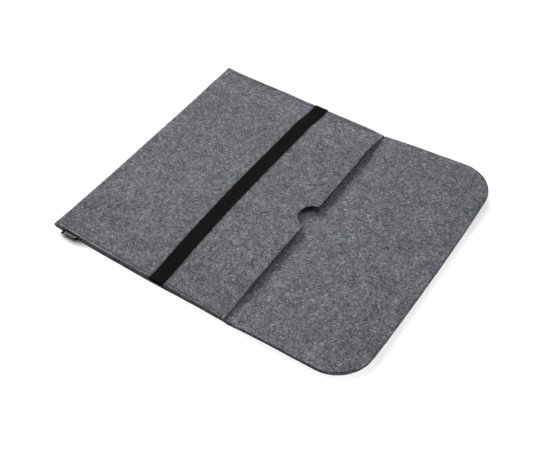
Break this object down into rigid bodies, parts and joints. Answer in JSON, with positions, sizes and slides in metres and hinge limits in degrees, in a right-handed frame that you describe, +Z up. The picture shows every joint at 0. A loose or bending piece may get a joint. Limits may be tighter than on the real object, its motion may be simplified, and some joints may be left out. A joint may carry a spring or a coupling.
{
  "type": "laptop sleeve",
  "caption": "Felt laptop sleeve: flat pocket sewn at both sides, fold-over flap with rounded corners, thumb notch, elastic retaining strap and side label.",
  "frame": {"origin": "centre of the pocket's underside, on the surface the sleeve lies on", "axes": "+X from the bottom fold towards the mouth and the open flap, +Y across the sleeve away from the labelled side, +Z up off the surface it lies on"},
  "size_m": [0.4115, 0.3563, 0.0153],
  "materials": {
    "felt": "matt grey melange wool felt",
    "elastic": "matt black ribbed elastic webbing",
    "label": "black woven ribbon with a plain pale bar pattern",
    "thread": "dark grey polyester sewing thread"
  },
  "bodies": {
    "sleeve": {"front_panel": "felt", "back_panel": "felt", "bottom_fold": "felt", "strap_sewn_end_near": "elastic", "strap_sewn_end_far": "elastic", "label_sewn_root": "label", "seam_needle_thread_near": "thread", "seam_bobbin_thread_near": "thread", "seam_needle_thread_far": "thread", "seam_bobbin_thread_far": "thread"},
    "flap": {"flap": "felt"},
    "strap": {"strap_band": "elastic"},
    "label": {"label_tab": "label"}
  },
  "joints": [
    {"name": "flap_fold", "type": "hinge", "parent": "sleeve", "child": "flap", "pos_m": [0.124, 0, 0.00745], "axis": [0, -1, 0], "range_deg": [0, 174]},
    {"name": "strap_lift", "type": "slide", "parent": "sleeve", "child": "strap", "axis": [0, 0, 1], "range_m": [0, 0.01]},
    {"name": "label_bend", "type": "hinge", "parent": "sleeve", "child": "label", "pos_m": [-0.0985, -0.17532, 0.0033], "axis": [-1, 0, 0], "range_deg": [-20, 85]}
  ]
}
